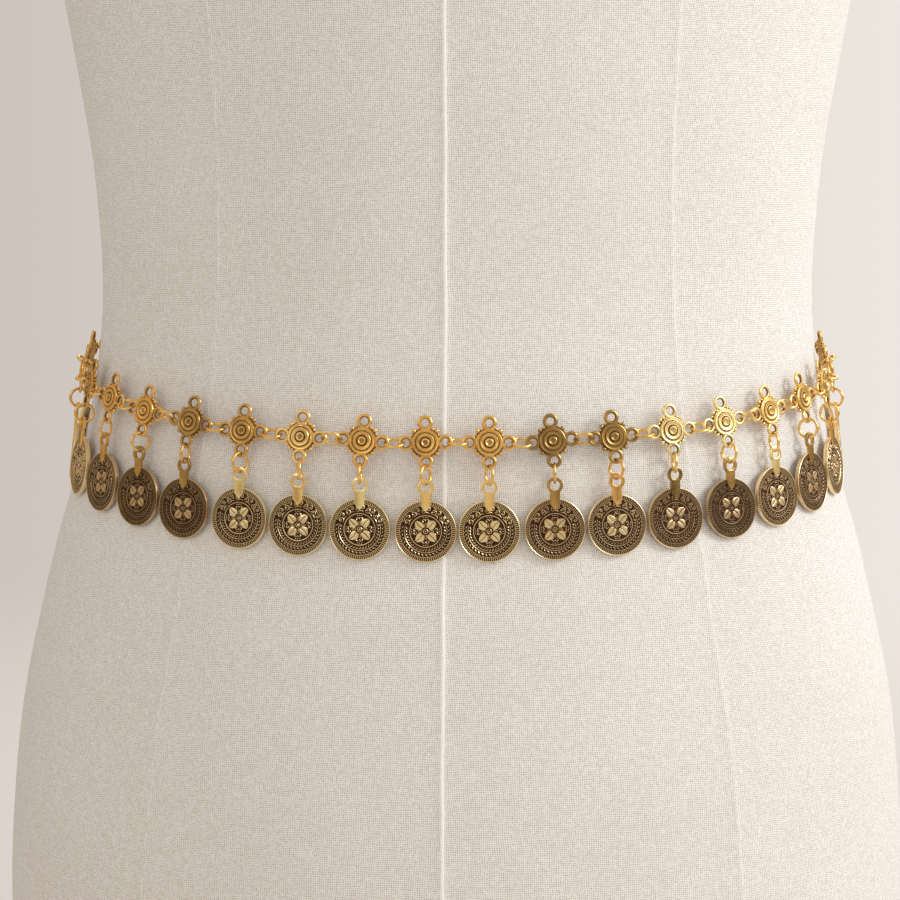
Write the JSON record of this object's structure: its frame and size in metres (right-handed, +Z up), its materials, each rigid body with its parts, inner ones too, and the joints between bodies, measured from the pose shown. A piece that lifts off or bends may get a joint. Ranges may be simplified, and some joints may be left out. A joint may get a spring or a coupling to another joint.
{
  "type": "coin waist chain on a dress form",
  "caption": "Chain of round medallions worn round the waist of a limbless dress form, with a coin hanging from each medallion by a ring; each coin can swing outwards.",
  "frame": {"origin": "centre of the dress form's base, on the surface it stands on", "axes": "+Z up, -Y towards the front of the wearer, +X towards the viewer's right when facing the front"},
  "size_m": [0.3148, 0.2344, 0.742],
  "materials": {
    "linen": "off-white linen, plain weave",
    "warm_gold": "bright antique gold plating",
    "aged_gold": "antique gold, dark in its recesses"
  },
  "bodies": {
    "form_and_band": {"dress_form": "linen", "medallion_01": "warm_gold", "medallion_02": "warm_gold", "medallion_03": "warm_gold", "medallion_04": "warm_gold", "medallion_05": "warm_gold", "medallion_06": "warm_gold", "medallion_07": "warm_gold", "medallion_08": "warm_gold", "medallion_09": "warm_gold", "medallion_10": "warm_gold", "medallion_11": "warm_gold", "medallion_12": "warm_gold", "medallion_13": "warm_gold", "medallion_14": "warm_gold", "medallion_15": "warm_gold", "medallion_16": "warm_gold", "medallion_17": "warm_gold", "medallion_18": "warm_gold", "medallion_19": "warm_gold", "medallion_20": "warm_gold", "medallion_21": "warm_gold", "medallion_22": "warm_gold", "medallion_23": "warm_gold", "medallion_24": "warm_gold", "medallion_25": "warm_gold", "medallion_26": "warm_gold", "medallion_27": "warm_gold", "medallion_28": "warm_gold", "extender_chain": "warm_gold", "clasp_body": "warm_gold", "clasp_lever": "warm_gold"},
    "coin_01": {"coin_01": "aged_gold"},
    "coin_02": {"coin_02": "aged_gold"},
    "coin_03": {"coin_03": "aged_gold"},
    "coin_04": {"coin_04": "aged_gold"},
    "coin_05": {"coin_05": "aged_gold"},
    "coin_06": {"coin_06": "aged_gold"},
    "coin_07": {"coin_07": "aged_gold"},
    "coin_08": {"coin_08": "aged_gold"},
    "coin_09": {"coin_09": "aged_gold"},
    "coin_10": {"coin_10": "aged_gold"},
    "coin_11": {"coin_11": "aged_gold"},
    "coin_12": {"coin_12": "aged_gold"},
    "coin_13": {"coin_13": "aged_gold"},
    "coin_14": {"coin_14": "aged_gold"},
    "coin_15": {"coin_15": "aged_gold"},
    "coin_16": {"coin_16": "aged_gold"},
    "coin_17": {"coin_17": "aged_gold"},
    "coin_18": {"coin_18": "aged_gold"},
    "coin_19": {"coin_19": "aged_gold"},
    "coin_20": {"coin_20": "aged_gold"},
    "coin_21": {"coin_21": "aged_gold"},
    "coin_22": {"coin_22": "aged_gold"},
    "coin_23": {"coin_23": "aged_gold"},
    "coin_24": {"coin_24": "aged_gold"},
    "coin_25": {"coin_25": "aged_gold"},
    "coin_26": {"coin_26": "aged_gold"},
    "coin_27": {"coin_27": "aged_gold"},
    "coin_28": {"coin_28": "aged_gold"}
  },
  "joints": [
    {"name": "coin_01_swing", "type": "hinge", "parent": "form_and_band", "child": "coin_01", "pos_m": [-0.08724, 0.07183, 0.26829], "axis": [0.8354, 0.5496, 0], "range_deg": [0, 75]},
    {"name": "coin_02_swing", "type": "hinge", "parent": "form_and_band", "child": "coin_02", "pos_m": [-0.10327, 0.05975, 0.26582], "axis": [0.7159, 0.6982, 0], "range_deg": [0, 75]},
    {"name": "coin_03_swing", "type": "hinge", "parent": "form_and_band", "child": "coin_03", "pos_m": [-0.11717, 0.04411, 0.26266], "axis": [0.5452, 0.8383, 0], "range_deg": [0, 75]},
    {"name": "coin_04_swing", "type": "hinge", "parent": "form_and_band", "child": "coin_04", "pos_m": [-0.12683, 0.0264, 0.25913], "axis": [0.325, 0.9457, 0], "range_deg": [0, 75]},
    {"name": "coin_05_swing", "type": "hinge", "parent": "form_and_band", "child": "coin_05", "pos_m": [-0.13208, 0.00693, 0.25529], "axis": [0.0812, 0.9967, 0], "range_deg": [0, 75]},
    {"name": "coin_06_swing", "type": "hinge", "parent": "form_and_band", "child": "coin_06", "pos_m": [-0.13273, -0.01412, 0.2511], "axis": [-0.1388, 0.9903, 0], "range_deg": [0, 75]},
    {"name": "coin_07_swing", "type": "hinge", "parent": "form_and_band", "child": "coin_07", "pos_m": [-0.12852, -0.03406, 0.24717], "axis": [-0.3767, 0.9263, 0], "range_deg": [0, 75]},
    {"name": "coin_08_swing", "type": "hinge", "parent": "form_and_band", "child": "coin_08", "pos_m": [-0.11906, -0.05302, 0.24339], "axis": [-0.5825, 0.8128, 0], "range_deg": [0, 75]},
    {"name": "coin_09_swing", "type": "hinge", "parent": "form_and_band", "child": "coin_09", "pos_m": [-0.10576, -0.06883, 0.24014], "axis": [-0.7389, 0.6738, 0], "range_deg": [0, 75]},
    {"name": "coin_10_swing", "type": "hinge", "parent": "form_and_band", "child": "coin_10", "pos_m": [-0.08969, -0.08153, 0.23747], "axis": [-0.8479, 0.5302, 0], "range_deg": [0, 75]},
    {"name": "coin_11_swing", "type": "hinge", "parent": "form_and_band", "child": "coin_11", "pos_m": [-0.07089, -0.09165, 0.23531], "axis": [-0.9195, 0.3932, 0], "range_deg": [0, 75]},
    {"name": "coin_12_swing", "type": "hinge", "parent": "form_and_band", "child": "coin_12", "pos_m": [-0.0515, -0.09857, 0.2338], "axis": [-0.964, 0.266, 0], "range_deg": [0, 75]},
    {"name": "coin_13_swing", "type": "hinge", "parent": "form_and_band", "child": "coin_13", "pos_m": [-0.03144, -0.10294, 0.23286], "axis": [-0.9888, 0.1495, 0], "range_deg": [0, 75]},
    {"name": "coin_14_swing", "type": "hinge", "parent": "form_and_band", "child": "coin_14", "pos_m": [-0.01018, -0.10504, 0.23239], "axis": [-0.999, 0.0444, 0], "range_deg": [0, 75]},
    {"name": "coin_15_swing", "type": "hinge", "parent": "form_and_band", "child": "coin_15", "pos_m": [0.01029, -0.10504, 0.23239], "axis": [-0.999, -0.0444, 0], "range_deg": [0, 75]},
    {"name": "coin_16_swing", "type": "hinge", "parent": "form_and_band", "child": "coin_16", "pos_m": [0.03145, -0.10294, 0.23286], "axis": [-0.9888, -0.1495, 0], "range_deg": [0, 75]},
    {"name": "coin_17_swing", "type": "hinge", "parent": "form_and_band", "child": "coin_17", "pos_m": [0.05165, -0.09853, 0.23381], "axis": [-0.964, -0.266, 0], "range_deg": [0, 75]},
    {"name": "coin_18_swing", "type": "hinge", "parent": "form_and_band", "child": "coin_18", "pos_m": [0.07094, -0.09162, 0.23531], "axis": [-0.9195, -0.3932, 0], "range_deg": [0, 75]},
    {"name": "coin_19_swing", "type": "hinge", "parent": "form_and_band", "child": "coin_19", "pos_m": [0.08974, -0.0815, 0.23748], "axis": [-0.8479, -0.5302, 0], "range_deg": [0, 75]},
    {"name": "coin_20_swing", "type": "hinge", "parent": "form_and_band", "child": "coin_20", "pos_m": [0.10588, -0.06872, 0.24016], "axis": [-0.7389, -0.6738, 0], "range_deg": [0, 75]},
    {"name": "coin_21_swing", "type": "hinge", "parent": "form_and_band", "child": "coin_21", "pos_m": [0.11906, -0.05301, 0.24339], "axis": [-0.5825, -0.8129, 0], "range_deg": [0, 75]},
    {"name": "coin_22_swing", "type": "hinge", "parent": "form_and_band", "child": "coin_22", "pos_m": [0.12856, -0.03395, 0.24719], "axis": [-0.3766, -0.9264, 0], "range_deg": [0, 75]},
    {"name": "coin_23_swing", "type": "hinge", "parent": "form_and_band", "child": "coin_23", "pos_m": [0.13275, -0.014, 0.25112], "axis": [-0.1387, -0.9903, 0], "range_deg": [0, 75]},
    {"name": "coin_24_swing", "type": "hinge", "parent": "form_and_band", "child": "coin_24", "pos_m": [0.13208, 0.00694, 0.25529], "axis": [0.0813, -0.9967, 0], "range_deg": [0, 75]},
    {"name": "coin_25_swing", "type": "hinge", "parent": "form_and_band", "child": "coin_25", "pos_m": [0.12677, 0.02655, 0.25916], "axis": [0.3249, -0.9457, 0], "range_deg": [0, 75]},
    {"name": "coin_26_swing", "type": "hinge", "parent": "form_and_band", "child": "coin_26", "pos_m": [0.11713, 0.04415, 0.26267], "axis": [0.5452, -0.8383, 0], "range_deg": [0, 75]},
    {"name": "coin_27_swing", "type": "hinge", "parent": "form_and_band", "child": "coin_27", "pos_m": [0.10322, 0.05979, 0.26583], "axis": [0.7159, -0.6982, 0], "range_deg": [0, 75]},
    {"name": "coin_28_swing", "type": "hinge", "parent": "form_and_band", "child": "coin_28", "pos_m": [0.0871, 0.07192, 0.26831], "axis": [0.8354, -0.5496, 0], "range_deg": [0, 75]}
  ]
}
